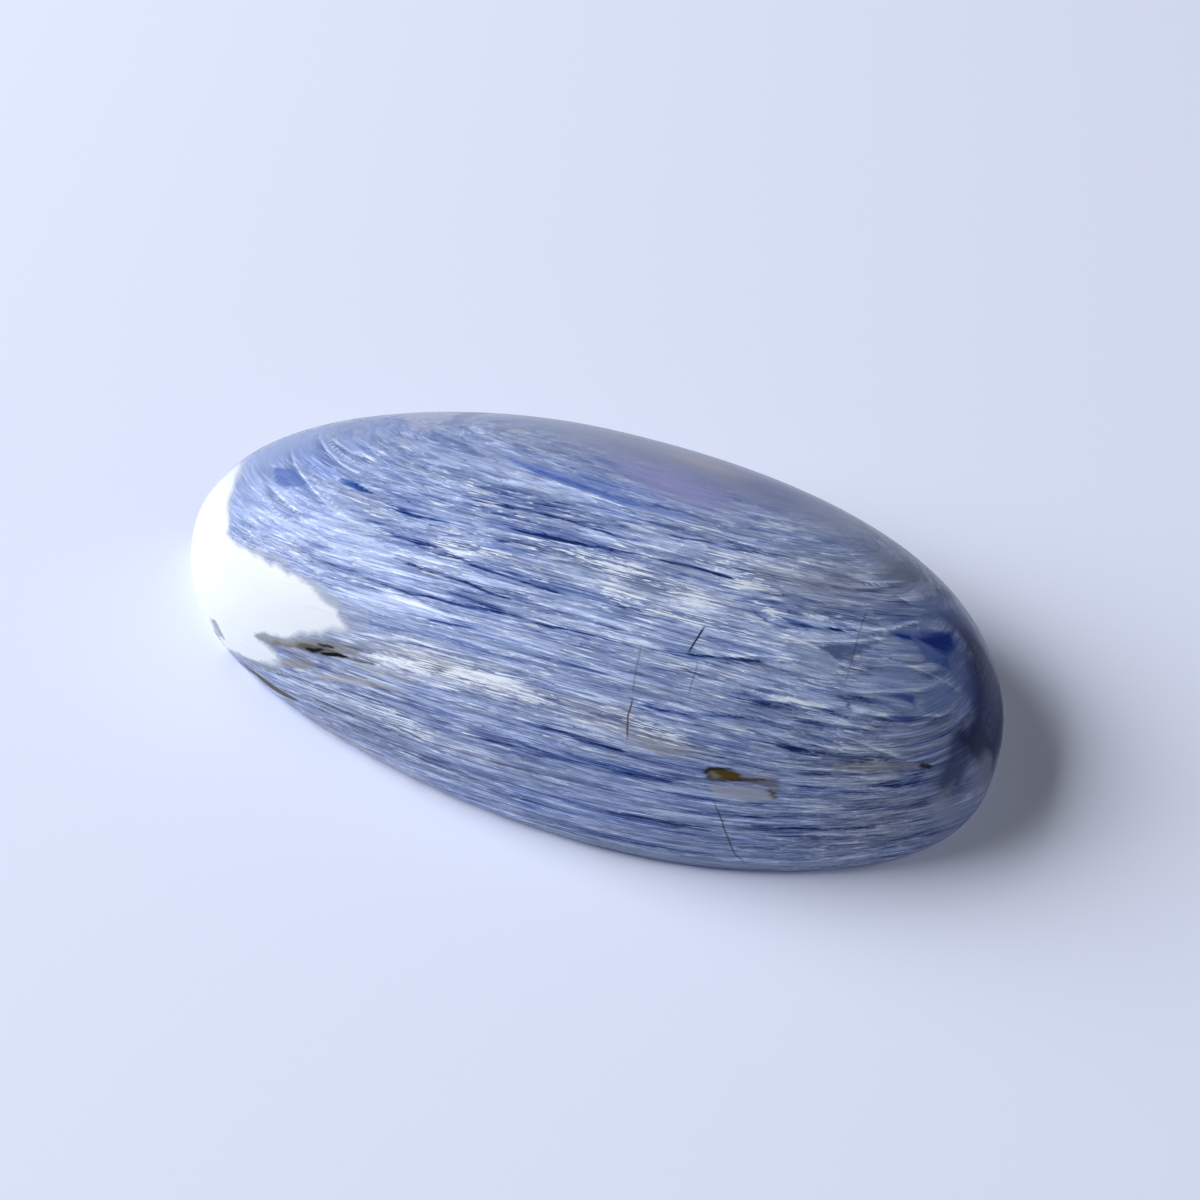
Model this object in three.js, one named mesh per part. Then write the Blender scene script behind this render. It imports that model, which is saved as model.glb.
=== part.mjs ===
// A polished oval cabochon: blue kyanite with milky quartz grown into one end.
// Millimetres, +Z up. The stone lies on its flat base, with the quartz end towards -X.
// The origin is on the base, under the middle of the stone's length and width.

import * as THREE from 'three';

// Driving dimensions.
const HALF_LENGTH = 20; // from the middle to the tip of either end
const HALF_WIDTH = 10.5; // from the middle to either long side
const HEIGHT = 9.3; // from the flat base to the top of the dome
const GIRDLE_HEIGHT = 0.7; // the widest line of the stone, above the base
const BASE_BEVEL = 0.6; // how far the base edge is drawn in under the girdle

// How full each curve is: 2 is an ellipse, a larger number is squarer, a smaller one more pointed.
const QUARTZ_END_FULLNESS = 1.9;
const BLUE_END_FULLNESS = 2.35;
const DOME_SHOULDER_FULLNESS = 2.25;
const DOME_TOP_FULLNESS = 2.2;

// The blue end is a little broader than the quartz end.
const END_WIDENING = 0.06;

// Hand grinding left the outline with shallow waves: waves to a turn, height as a share of the
// radius, and the angle of the first crest.
const GRINDING_WAVES = [
  { count: 5, height: 0.0063, crest: THREE.MathUtils.degToRad(-4.5) },
  { count: 6, height: 0.005, crest: THREE.MathUtils.degToRad(-18.3) },
];

// Mesh fineness.
const OUTLINE_STEPS = 96;
const DOME_STEPS = 20;

// The sine or cosine of a superellipse: a signed power that keeps the curve's direction.
function fullCurve(value, fullness) {
  return Math.sign(value) * Math.abs(value) ** (2 / fullness);
}

// The girdle's outline, seen from above, at one angle around the stone.
function girdlePoint(angle) {
  const towardsBlueEnd = (1 + Math.cos(angle)) / 2;
  const fullness = THREE.MathUtils.lerp(QUARTZ_END_FULLNESS, BLUE_END_FULLNESS, towardsBlueEnd);
  const x = HALF_LENGTH * fullCurve(Math.cos(angle), fullness);
  const y = HALF_WIDTH * fullCurve(Math.sin(angle), fullness);

  const widened = y * (1 + END_WIDENING * (x / HALF_LENGTH));
  let waviness = 1;
  for (const wave of GRINDING_WAVES) {
    waviness += wave.height * Math.cos(wave.count * (angle - wave.crest));
  }
  return new THREE.Vector2(x * waviness, widened * waviness);
}

// The outline, moved so that the middle of its length and width is at the origin.
function girdleOutline() {
  const points = [];
  for (let step = 0; step < OUTLINE_STEPS; step += 1) {
    points.push(girdlePoint((2 * Math.PI * step) / OUTLINE_STEPS));
  }
  const middle = new THREE.Box2().setFromPoints(points).getCenter(new THREE.Vector2());
  return { points: points.map((point) => point.sub(middle)), middle };
}

// One closed ring of the stone: the outline at some share of its size, about the dome's own middle.
function ringAt(outline, share, height) {
  return outline.points.map((point) => {
    const x = (point.x + outline.middle.x) * share - outline.middle.x;
    const y = (point.y + outline.middle.y) * share - outline.middle.y;
    return new THREE.Vector3(x, y, height);
  });
}

// The edge of the flat base, drawn in from the girdle towards the middle of the stone.
function baseRing(outline) {
  return outline.points.map((point) => {
    const drawnIn = point.clone().setLength(point.length() - BASE_BEVEL);
    return new THREE.Vector3(drawnIn.x, drawnIn.y, 0);
  });
}

// The rings from the base edge up to the last one below the top of the dome.
function stoneRings(outline) {
  const rings = [baseRing(outline)];
  for (let step = 0; step < DOME_STEPS; step += 1) {
    const rise = ((Math.PI / 2) * step) / DOME_STEPS;
    const share = fullCurve(Math.cos(rise), DOME_SHOULDER_FULLNESS);
    const lift = fullCurve(Math.sin(rise), DOME_TOP_FULLNESS);
    rings.push(ringAt(outline, share, GIRDLE_HEIGHT + (HEIGHT - GIRDLE_HEIGHT) * lift));
  }
  return rings;
}

// A closed skin of triangles over the rings, with a point under the base and one on the dome.
function closedSkin(rings, bottomPoint, topPoint) {
  const positions = [];
  for (const point of [...rings.flat(), bottomPoint, topPoint]) {
    positions.push(point.x, point.y, point.z);
  }
  const bottom = rings.length * OUTLINE_STEPS;
  const top = bottom + 1;
  const lastRing = (rings.length - 1) * OUTLINE_STEPS;

  const triangles = [];
  for (let step = 0; step < OUTLINE_STEPS; step += 1) {
    const next = (step + 1) % OUTLINE_STEPS;
    triangles.push(bottom, next, step);
    for (let ring = 0; ring < lastRing; ring += OUTLINE_STEPS) {
      const above = ring + OUTLINE_STEPS;
      triangles.push(ring + step, ring + next, above + next);
      triangles.push(ring + step, above + next, above + step);
    }
    triangles.push(lastRing + step, lastRing + next, top);
  }

  const geometry = new THREE.BufferGeometry();
  geometry.setAttribute('position', new THREE.Float32BufferAttribute(positions, 3));
  geometry.setIndex(triangles);
  geometry.computeVertexNormals();
  return geometry;
}

// The whole stone. Kyanite and quartz grew into each other and were ground as one piece.
function cabochon() {
  const outline = girdleOutline();
  const underside = new THREE.Vector3(-outline.middle.x, -outline.middle.y, 0);
  const crown = underside.clone().setZ(HEIGHT);
  const polishedKyanite = new THREE.MeshStandardMaterial({
    color: '#7b8ec3',
    roughness: 0.2,
    metalness: 0,
  });
  const stone = new THREE.Mesh(closedSkin(stoneRings(outline), underside, crown), polishedKyanite);
  stone.name = 'cabochon';
  return stone;
}

const kyaniteCabochon = new THREE.Group();
kyaniteCabochon.add(cabochon());

export default kyaniteCabochon;
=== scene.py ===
# A polished oval cabochon of blue kyanite, with milky quartz at one end, on a pale floor.
# Blender works in metres; the stone's own measures are written here in millimetres.

import math
from functools import partial

import bpy
import numpy as np
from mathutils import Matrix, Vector


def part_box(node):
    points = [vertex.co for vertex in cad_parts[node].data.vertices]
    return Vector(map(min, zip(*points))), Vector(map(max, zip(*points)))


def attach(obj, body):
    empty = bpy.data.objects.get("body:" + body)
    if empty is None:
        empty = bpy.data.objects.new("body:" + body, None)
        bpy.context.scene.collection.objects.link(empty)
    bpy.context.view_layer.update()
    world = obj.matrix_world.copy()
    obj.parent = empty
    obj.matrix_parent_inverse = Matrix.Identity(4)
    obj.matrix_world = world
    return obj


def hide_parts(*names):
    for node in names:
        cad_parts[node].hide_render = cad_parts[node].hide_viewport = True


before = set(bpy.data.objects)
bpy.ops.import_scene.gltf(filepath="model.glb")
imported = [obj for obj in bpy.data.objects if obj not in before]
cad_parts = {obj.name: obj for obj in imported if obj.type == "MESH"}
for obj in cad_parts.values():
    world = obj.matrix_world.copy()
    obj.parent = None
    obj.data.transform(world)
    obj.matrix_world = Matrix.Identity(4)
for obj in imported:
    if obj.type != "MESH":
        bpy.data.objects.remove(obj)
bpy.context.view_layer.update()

MM = 0.001
STONE = "cabochon"
RANGE = "ShaderNodeMapRange"
MIX = "ShaderNodeMix"
NOISE = "ShaderNodeTexNoise"
APART = "ShaderNodeSeparateXYZ"
TOGETHER = "ShaderNodeCombineXYZ"

# ---- The ground form ----

QUARTZ_END_FULLNESS = 1.9
BLUE_END_FULLNESS = 2.35
SHOULDER_FULLNESS = 2.25
TOP_FULLNESS = 2.2
END_WIDENING = 0.06
GIRDLE_HEIGHT = 0.7
BASE_BEVEL = 0.6
GRINDING_WAVES = ((5, 0.0063, math.radians(-4.5)), (6, 0.005, math.radians(-18.3)))
DOME_TOP = (-0.12, 0.05)  # the highest point, from the middle of the stone's box

POINTS_ALONG = 188
POINTS_ACROSS = 500  # close together, because the fibres run along the stone and are fine
EDGE_ROLL = 1.05  # the dome's rings end at 1, and the rounded base edge's at this

# ---- How the blades of kyanite lie ----
# They are thin layers, almost level, that lean back and curl up towards both ends.

LEAN = math.radians(70)  # their normal, turned up from +Y
SLOPE = -0.012  # rise per mm of length
CURL = 0.0053  # rise per mm of length squared
TWIST = 0.0044  # rise per mm of length and mm of width
FLATTENING = 0.01  # fall per mm of length squared, low in the stone's blue half
SWEEP = 0.0015  # how the blades' edges sweep sideways, per mm of length cubed

# ---- The polish ----

GROOVE_DEPTH = 0.02
WAVINESS = 0.05
POLISH_ROUGHNESS = 0.22
KYANITE_IOR = 1.72
SHINE = 0.04  # low: soft light leaves hardly a highlight on the stone

# Each blue by how pale the fibre is, with its two ends first: the common blue, the royal blue of
# the veins, and grey.
BLUES = (
    (0.0, "#1c2f66"), (1.0, "#ffffff"), (0.09, "#34487f"), (0.2, "#596b9b"), (0.29, "#6f80ab"),
    (0.38, "#8091b9"), (0.46, "#8f9fc6"), (0.54, "#a0afd3"), (0.63, "#b2c3ea"), (0.72, "#c8dafd"),
    (0.83, "#eff7ff"),
)
ROYAL_BLUES = (
    (0.0, "#1c2b60"), (1.0, "#eff7ff"), (0.12, "#354983"), (0.25, "#4e66a3"), (0.4, "#6c83bf"),
    (0.55, "#91a5d6"), (0.75, "#c3d3f3"),
)
GREY_BLUES = (
    (0.0, "#30384c"), (1.0, "#ffffff"), (0.2, "#626b83"), (0.46, "#979eb0"), (0.7, "#cdd2da"),
)
# near white, for the painted glints on splinters of the blades
PAINTED_GLINT = "#f1f9ff"
CLEAN_CRACK = "#1c2338"
IRON_CRACK = "#5c4a30"
QUARTZ_FRINGE = "#a3aab8"
MILKY_QUARTZ = "#dfe4e8"
FAR_SIDE_GREY_AND_REFLECTION = "#8b8e9a"


def linear(hex_colour):
    """An sRGB hex colour as linear red, green, blue and alpha."""
    parts = [int(hex_colour[i : i + 2], 16) / 255 for i in (1, 3, 5)]
    return tuple(c / 12.92 if c <= 0.04045 else ((c + 0.055) / 1.055) ** 2.4 for c in parts) + (1.0,)


def node(tree, kind, *inputs, stops=(), **settings):
    """Adds a node, sets it up, links or fills its inputs in order, and gives its first output.

    A kind without "Node" in it is what a Math or Vector Math node does. An input of None stays as
    it is. The stops are a colour ramp's, each a place and a colour."""
    if "Node" not in kind:
        settings["operation"] = kind.removeprefix("VECTOR ")
        kind = "ShaderNodeVectorMath" if kind.startswith("VECTOR ") else "ShaderNodeMath"
    new = tree.nodes.new(kind)
    for name, value in settings.items():
        setattr(new, name, value)
    for number, (place, colour) in enumerate(stops):
        ramp = new.color_ramp.elements
        stop = ramp[number] if number < 2 else ramp.new(place)
        stop.position = place
        stop.color = linear(colour)
    sockets = [s for s in new.inputs if s.enabled and not s.is_unavailable]
    for socket, value in zip(sockets, inputs):
        if isinstance(value, bpy.types.NodeSocket):
            tree.links.new(value, socket)
        elif value is not None:
            socket.default_value = value
    outputs = [s for s in new.outputs if s.enabled and not s.is_unavailable]
    return outputs[0] if outputs else new


# Below, add is the function above with its tree already given.


def uneven(add, place, size_mm, detail=3.0, roughness=0.6, span=(0, 1, -0.5, 0.5), shift=(0, 0, 0)):
    """Values that come and go over a size in mm. Their span says what becomes what."""
    cells = add("VECTOR MULTIPLY_ADD", place, tuple(1 / s for s in size_mm), shift)
    values = add(NOISE, cells, 1.0, detail, roughness)
    return add(RANGE, values, *span)


def patchwork(add, place, size_mm, less=0.5):
    """One random value from 0 to 1 for each cell of a size in mm, less an amount."""
    cells = add("VECTOR MULTIPLY", place, tuple(1 / s for s in size_mm))
    colour = add("ShaderNodeTexVoronoi", cells, 1.0).node.outputs["Color"]
    value = add("ShaderNodeSeparateColor", colour)
    return add("SUBTRACT", value, less)


# ---- The stone's form, by Geometry Nodes ----


def full_curve(add, value, fullness):
    """A signed power, which bends a circle's sine or cosine into a fuller or more pointed curve."""
    bent = add("POWER", add("ABSOLUTE", value), add("DIVIDE", 2.0, fullness))
    return add("MULTIPLY", bent, add("SIGN", value))


def oval_outline(add, angle):
    """The girdle's outline at an angle round the stone, with a half length and width of about 1."""
    along = add("COSINE", angle)
    across = add("SINE", angle)
    fullness = add(RANGE, along, -1.0, 1.0, QUARTZ_END_FULLNESS, BLUE_END_FULLNESS)
    x = full_curve(add, along, fullness)
    y = full_curve(add, across, fullness)
    y = add("MULTIPLY", y, add("MULTIPLY_ADD", x, END_WIDENING, 1.0))
    waviness = 1.0
    for count, height, crest in GRINDING_WAVES:
        wave = add("COSINE", add("MULTIPLY_ADD", angle, float(count), -count * crest))
        waviness = add("MULTIPLY_ADD", wave, height, waviness)
    return add("VECTOR SCALE", add(TOGETHER, x, y, 0.0), waviness)


def blade_place(add, position):
    """A point's place among the blades, in mm: along them, across their width, through them."""
    mm = add("VECTOR SCALE", position, 1 / MM)
    x, y, z = add(APART, mm).node.outputs
    width = layer = 0.0
    for part, across, through in (
        (y, math.sin(LEAN), math.cos(LEAN)),
        (z, -math.cos(LEAN), math.sin(LEAN)),
    ):
        width = add("MULTIPLY_ADD", part, across, width)
        layer = add("MULTIPLY_ADD", part, through, layer)
    bend = add("MULTIPLY_ADD", x, CURL, SLOPE)
    bend = add("MULTIPLY_ADD", y, TWIST, bend)
    layer = add("MULTIPLY_ADD", x, bend, layer)
    past = add("MAXIMUM", add("SUBTRACT", x, 2.0), 0.0)
    past = add("MULTIPLY", past, past)
    low = add(RANGE, z, 3.0, 6.0, -FLATTENING, 0.0)
    layer = add("MULTIPLY_ADD", past, low, layer)
    cubed = add("ABSOLUTE", add("POWER", x, 3.0))
    width = add("MULTIPLY_ADD", cubed, -SWEEP, width)
    return add(TOGETHER, x, width, layer)


def stone_tree(size_names):
    """The tree that makes the whole closed stone from its sizes."""
    tree = bpy.data.node_groups.new("Ground cabochon", "GeometryNodeTree")
    tree.is_modifier = True
    for name in size_names:
        tree.interface.new_socket(name, in_out="INPUT", socket_type="NodeSocketFloat")
    tree.interface.new_socket("Polish", in_out="INPUT", socket_type="NodeSocketMaterial")
    tree.interface.new_socket("Stone", in_out="OUTPUT", socket_type="NodeSocketGeometry")
    add = partial(node, tree)
    sizes = add("NodeGroupInput").node.outputs
    keep = "GeometryNodeStoreNamedAttribute"
    kept = "GeometryNodeInputNamedAttribute"
    move = "GeometryNodeSetPosition"
    smooth = "GeometryNodeSetShadeSmooth"

    # A square sheet of points, drawn into a disc whose rim is the inner edge of the base.
    sheet = add("GeometryNodeMeshGrid", 2.0, 2.0, POINTS_ALONG, POINTS_ACROSS)
    square = add(APART, add("GeometryNodeInputPosition")).node.outputs
    disc = []
    for own, other in ((square[0], square[1]), (square[1], square[0])):
        squeeze = add("MULTIPLY", other, other)
        squeeze = add("SQRT", add("MULTIPLY_ADD", squeeze, -0.5, 1.0))
        disc.append(add("MULTIPLY", own, squeeze))
    angle = add("ARCTAN2", disc[1], disc[0])
    reach = add("VECTOR LENGTH", add(TOGETHER, *disc, 0.0))
    reach = add("MULTIPLY", reach, EDGE_ROLL)

    # The outline's own box says how to fit it to the stone's length and width.
    outline = oval_outline(add, angle)
    drawn = add(move, sheet, None, outline)
    box = add("GeometryNodeBoundBox", drawn).node.outputs
    span = add("VECTOR SUBTRACT", box["Max"], box["Min"])
    middle = add("VECTOR ADD", box["Max"], box["Min"])
    size = add(TOGETHER, sizes["Length"], sizes["Width"], 0.0)
    scale = add("VECTOR DIVIDE", size, span)
    shift = add("VECTOR MULTIPLY", middle, scale)
    shift = add("VECTOR SCALE", shift, -0.5)

    # The dome: how far in and how high each ring of points lies.
    quarter = add("MULTIPLY", add("MINIMUM", reach, 1.0), math.pi / 2)
    share = add("POWER", add("SINE", quarter), 2 / SHOULDER_FULLNESS)
    rise = add("MAXIMUM", add("COSINE", quarter), 0.0)
    rise = add("POWER", rise, 2 / TOP_FULLNESS)
    dome = add("SUBTRACT", sizes["Height"], sizes["Girdle Height"])

    # The base edge: a quarter turn from the girdle in under the stone.
    roll = add(RANGE, reach, 1.0, EDGE_ROLL, 0.0, math.pi / 2)
    drop = add("SUBTRACT", 1.0, add("SINE", roll))
    height = add("MULTIPLY", sizes["Girdle Height"], drop)
    height = add("MULTIPLY_ADD", dome, rise, height)
    inset = add("SUBTRACT", 1.0, add("COSINE", roll))
    inset = add("MULTIPLY", inset, sizes["Base Bevel"])

    spread = add("VECTOR SCALE", outline, share)
    spread = add("VECTOR MULTIPLY_ADD", spread, scale, shift)
    inward = add("VECTOR NORMALIZE", spread)
    inward = add("VECTOR SCALE", inward, inset)
    spread = add("VECTOR SUBTRACT", spread, inward)
    place = add("VECTOR ADD", spread, add(TOGETHER, 0.0, 0.0, height))
    stone = add(keep, sheet, None, "reach", reach, data_type="FLOAT")
    stone = add(move, stone, None, place)
    blades = blade_place(add, add("GeometryNodeInputPosition"))
    stone = add(keep, stone, None, "blades", blades, data_type="FLOAT_VECTOR")

    # Softer fibres are ground a little lower than hard ones, and a wheel leaves slow waves.
    blades = add(kept, "blades", data_type="FLOAT_VECTOR")
    reach = add(kept, "reach", data_type="FLOAT")
    relief = 0.0
    for size_mm, name in (((5.0, 0.5, 0.16), "Groove Depth"), ((9.0, 4.0, 2.5), "Waviness")):
        ground = uneven(add, blades, size_mm, roughness=0.55)
        relief = add("MULTIPLY_ADD", ground, sizes[name], relief)
    on_dome = add(RANGE, reach, 1.0, EDGE_ROLL, 1.0, 0.0)
    relief = add("MULTIPLY", relief, on_dome)
    push = add("VECTOR SCALE", add("GeometryNodeInputNormal"), relief)
    stone = add(move, stone, None, None, push)
    stone = add(smooth, stone, None, True)

    # The flat base fills the rim of the sheet.
    edge_faces = add("GeometryNodeInputMeshEdgeNeighbors")
    is_rim = add("FunctionNodeCompare", edge_faces, 1, data_type="INT", operation="EQUAL")
    rim = add("GeometryNodeMeshToCurve", stone, is_rim)
    base = add("GeometryNodeFlipFaces", add("GeometryNodeFillCurve", rim))
    base = add(smooth, base, None, False)
    whole = add("GeometryNodeJoinGeometry", stone)
    tree.links.new(base, whole.node.inputs[0])
    whole = add("GeometryNodeMergeByDistance", whole, None, 0.0001 * MM)
    whole = add("GeometryNodeRealizeInstances", whole)
    whole = add("GeometryNodeSetMaterial", whole, None, sizes["Polish"])
    add("NodeGroupOutput", whole)
    return tree


def ground_stone(polish):
    """The stone as a plain mesh, made by the tree to the size of the CAD solid."""
    low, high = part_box(STONE)
    values = {
        "Length": high[0] - low[0],
        "Width": high[1] - low[1],
        "Height": high[2] - low[2],
        "Girdle Height": GIRDLE_HEIGHT * MM,
        "Base Bevel": BASE_BEVEL * MM,
        "Groove Depth": GROOVE_DEPTH * MM,
        "Waviness": WAVINESS * MM,
    }
    tree = stone_tree(values)
    values["Polish"] = polish
    stone = bpy.data.objects.new("kyanite_cabochon", bpy.data.meshes.new("blank"))
    bpy.context.scene.collection.objects.link(stone)
    grinding = stone.modifiers.new("Grinding", "NODES")
    grinding.node_group = tree
    for socket in tree.interface.items_tree:
        if socket.name in values:
            grinding[socket.identifier] = values[socket.name]
    shaped = stone.evaluated_get(bpy.context.evaluated_depsgraph_get())
    stone.data = bpy.data.meshes.new_from_object(shaped)
    stone.modifiers.clear()
    stone.data.materials.pop(index=0)  # the blank mesh's empty slot
    return stone


# ---- What grew in the stone, and where light and shade are painted on ----
# Places on the top are x and y in mm from under the dome's highest point: +x to the blue end, +y
# to the back. Places on the front wall are x and height. Turns are in degrees.

# Veins on the top: half width, how much deeper (-) or paler (+) than the stone round them, points.
TOP_VEINS = (
    # royal blue under the grey cap
    (0.1, -0.16, (-3.6, 1.95), (-2.9, 1.75), (-2.2, 1.7)),
    (0.08, -0.14, (-2, 1.62), (-0.6, 1.6), (1.6, 1.32)),
    (0.1, -0.14, (-0.5, 2.15), (2, 2.1), (4.2, 2), (6.2, 2.1)),
    (0.1, -0.26, (-5.4, -0.95), (-3.5, -0.91), (-1.9, -0.76), (0.2, -0.7), (1.4, -0.76), (3.4, -0.6)),
    (0.05, -0.26, (-3.4, -0.92), (-1.9, -0.78), (-0.9, -0.74)),
    (0.06, -0.2, (1.9, -0.1), (4, -0.01), (5.7, 0.08), (7.4, 0.4)),
    # navy across the middle
    (0.16, -0.24, (-3.4, -1.95), (-1, -1.88), (1.7, -1.62), (3.4, -1.46), (5, -1.07), (7.2, -0.9)),
    (0.07, -0.34, (-2.9, -2.02), (-1.7, -1.97), (-0.1, -1.85), (1.7, -1.7)),
    (0.07, -0.3, (2.2, -1.55), (3.4, -1.4), (5, -1.07), (7.2, -0.9), (8.7, -0.43)),
    # by the quartz end
    (0.18, -0.26, (-9, -1.95), (-7.9, -2.2), (-6.8, -2.45), (-5.4, -2.45)),
    (0.07, -0.28, (-8.4, -2.15), (-6.6, -2.5), (-4.8, -2.45)),
    (0.2, -0.2, (-9.1, -3), (-7.4, -3.5), (-5.6, -3.65), (-4.2, -3.9)),
    (0.07, -0.46, (-7.6, -3.6), (-5.4, -3.82), (-3.9, -4.16), (-2.7, -4.25), (-0.9, -4.34), (1.7, -4.41)),
    (0.06, -0.46, (-6.9, -4.6), (-5.3, -4.82), (-4.3, -4.96), (-3.3, -5.02), (-2.3, -5.18), (-1.1, -5.22)),
    (0.12, -0.3, (-10.5, -5.1), (-9.3, -5.3), (-8, -5.6), (-6.3, -5.86), (-4.8, -5.89)),
    (0.07, -0.5, (-8.4, -5.55), (-5.9, -5.92), (-4.8, -5.89), (-3.9, -5.95), (-2, -5.9), (-0.3, -5.83)),
    (0.06, -0.44, (-1.4, -5.86), (1.1, -5.84), (2.5, -5.72), (3.9, -5.64), (5.1, -5.5)),
    (0.1, -0.3, (-3.8, -5.52), (-2.8, -5.63), (-2, -5.71), (-1, -5.75)),
    (0.05, -0.55, (5, -5.52), (6.4, -5.23), (7.7, -4.9), (10, -4.02)),
    (0.07, -0.26, (-5.1, -6.79), (-3.8, -6.73), (-2, -6.7)),
    (0.12, -0.24, (0.3, -7.15), (1.6, -7.06), (2.7, -7.01), (3.9, -6.93)),
    (0.06, -0.22, (-5.2, -7.64), (-4, -7.69), (-2.8, -7.73), (-1.6, -7.75)),
    (0.12, -0.3, (5.4, -7.3), (6.6, -7.45), (8.2, -7.1), (10.4, -6.3), (11.2, -5.9)),
    (0.07, -0.3, (5.5, -7.6), (6.4, -7.62)),
    # towards the blue end
    (0.08, -0.38, (3.9, 0.3), (4.5, 0.29), (5.6, 0.57), (7, 0.75), (7.9, 1.1)),
    (0.17, -0.12, (7.8, 0.75), (9.2, 1), (10.1, 1.35), (11.2, 1.6), (12.4, 2.3)),
    (0.12, -0.3, (10, -2), (11.2, -1.7), (12.2, -1.15), (13.3, -0.5)),
    (0.09, -0.5, (11.9, -1.35), (12.6, -0.95), (13.2, -0.6)),
    (0.14, -0.25, (8.6, -1.9), (9.4, -2.3), (10.6, -2.2)),
    (0.16, -0.25, (13.3, -3.95), (13.9, -3.75), (15, -3.2)),
    (0.12, -0.26, (12, -2.35), (13, -2.2), (13.6, -1.6)),
    (0.13, -0.3, (11.5, -6.75), (12.1, -6.6), (13.2, -6.3)),
    (0.1, -0.28, (11.9, -5.65), (13.4, -5.15)),
    (0.1, -0.26, (12.9, -4.8), (14.6, -4.4)),
    # pale bands
    (0.3, 0.22, (-9, -6.25), (-7, -6.35), (-5, -6.35), (-3.2, -6.5)),
    (0.14, 0.3, (-6.6, -6.1), (-4, -6.35)),
    (0.25, 0.22, (-6.9, -4.3), (-4, -4.6), (-0.8, -4.7)),
    (0.16, 0.34, (1, -4.95), (2.6, -4.85), (4.4, -4.95)),
    (0.16, 0.34, (2.3, -0.1), (4, -0.15), (5.6, 0.1), (7, 0.25)),
    (0.13, 0.36, (5, -2), (6.6, -1.6), (8.8, -0.95), (10, -0.5)),
    (0.1, 0.3, (3, -2.6), (4.2, -2.25)),
    (0.14, 0.38, (-2.7, -8.25), (-1, -8.2), (0.3, -8.2), (1.6, -8.35)),
    (0.1, 0.36, (-6.4, -8.1), (-4.6, -8.2)),
    (0.08, 0.36, (-4.7, -8.4), (-3.6, -8.42)),
    (0.08, 0.32, (-7.7, -7.55), (-4, -7.55)),
    (0.08, 0.28, (-4.2, -7.75), (-2.6, -7.78)),
    (0.1, 0.3, (-8.8, -2.5), (-7.2, -2.85), (-5, -2.9)),
    (0.14, 0.26, (-8.9, 0.9), (-7.4, 0.85), (-6, 0.7)),
    (0.1, 0.24, (-5, 0.55), (-3.8, 0.35)),
    (0.12, 0.32, (10.9, -2.5), (12, -2.05), (13.4, -1.4)),
    (0.13, 0.3, (12.6, -3), (14, -2.7), (15.6, -1.8), (16.6, -0.6)),
    (0.12, 0.3, (13.1, -3.75), (14.4, -3.25), (16.2, -2.6), (17.2, -2)),
    (0.1, 0.26, (11, -5.1), (12.6, -4.85), (14, -4.2)),
    (0.1, 0.24, (9.8, -5.55), (11.4, -5.1), (12.8, -4.85)),
    (0.1, 0.24, (12, -5.45), (13.3, -5), (15, -4.2)),
)

# Veins on the front wall: half width, depth or paleness, and points of x and height.
WALL_VEINS = (
    (0.12, -0.4, (0.8, 5.55), (3, 5.62), (6, 5.5)),
    (0.28, -0.3, (0.9, 4.8), (3, 4.75), (5.2, 4.8), (8.6, 4.85)),
    (0.14, 0.24, (0.6, 4.95), (2.4, 4.85), (5.4, 4.65)),
    (0.1, -0.3, (-1.2, 4.35), (0.6, 4.45), (2.8, 4.5)),
    (0.12, -0.34, (6.6, 4.18), (8.6, 4.2), (10.2, 4.2)),
    (0.22, -0.3, (2.8, 2.8), (4.4, 2.7), (6.4, 2.8), (9.8, 2.75)),
    (0.12, -0.22, (8.4, 3.55), (11, 3.5), (13.6, 3.6)),
    (0.18, -0.42, (11.6, 3.15), (13.4, 3.05), (15, 2.9), (16.4, 2.7)),
    (0.1, -0.28, (13, 3.05), (14.4, 3)),
    (0.2, -0.46, (15.6, 4.45), (16.6, 4.3), (17.6, 4.2)),
    (0.3, -0.24, (12.6, 4.7), (14, 4.6), (15.6, 4.3)),
    (0.1, -0.3, (-9.4, 2.15), (-8, 2.35), (-6.8, 2.5)),
    (0.14, -0.2, (-8.6, 1.6), (-5, 2.1), (-1, 2.2), (3, 2.35)),
    (0.12, 0.2, (-9, 3.8), (-7, 4.2), (-4.6, 4.5)),
    (0.1, 0.22, (-7.6, 4.5), (-5, 4.85), (-2.4, 4.9)),
    (0.1, -0.26, (4, 1.25), (8, 1.3), (11, 1.3)),
    (0.22, 0.12, (-2, 1.6), (3, 1.8), (8, 2.1), (12, 2.1)),
    (0.16, 0.14, (2, 3.3), (8, 3.3), (12, 3.5)),
)

# Broad patches on the top: middle, radii, turn, how much deeper or paler.
PATCHES = (
    ((-0.5, 2.2), (5, 0.9), -4, -0.07),
    ((-11, -3.3), (3.8, 1.4), -14, 0.05),
    ((-7.4, -4.7), (2.2, 0.7), -12, 0.14),
    ((-6.2, -5.5), (1.6, 0.4), -8, 0.1),
    ((-6.5, -6.5), (3.2, 0.45), -3, 0.12),
    ((6.5, -2.7), (0.9, 0.6), 0, 0.24),
    ((-9.8, -3.9), (2, 0.6), -10, 0.08),
    ((0, -0.1), (4, 0.6), 0, -0.03),
    ((-7.5, -1.6), (2.6, 0.8), -12, -0.06),
    ((-2.4, -3), (1.6, 0.6), -8, -0.08),
    ((0.2, -6.6), (1.4, 0.4), -4, 0.1),
    ((8.2, -6.3), (1.6, 0.5), 8, 0.08),
    ((12.2, -4.7), (1.6, 0.9), 20, 0.07),
    ((9, 1.2), (1.4, 0.5), 12, -0.05),
    ((13.2, 1.2), (1, 0.8), 30, 0.1),
    ((15, 5), (1.2, 0.8), -30, -0.04),
    ((18.2, -4.6), (1.4, 1.8), 40, -0.12),
)

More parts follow.
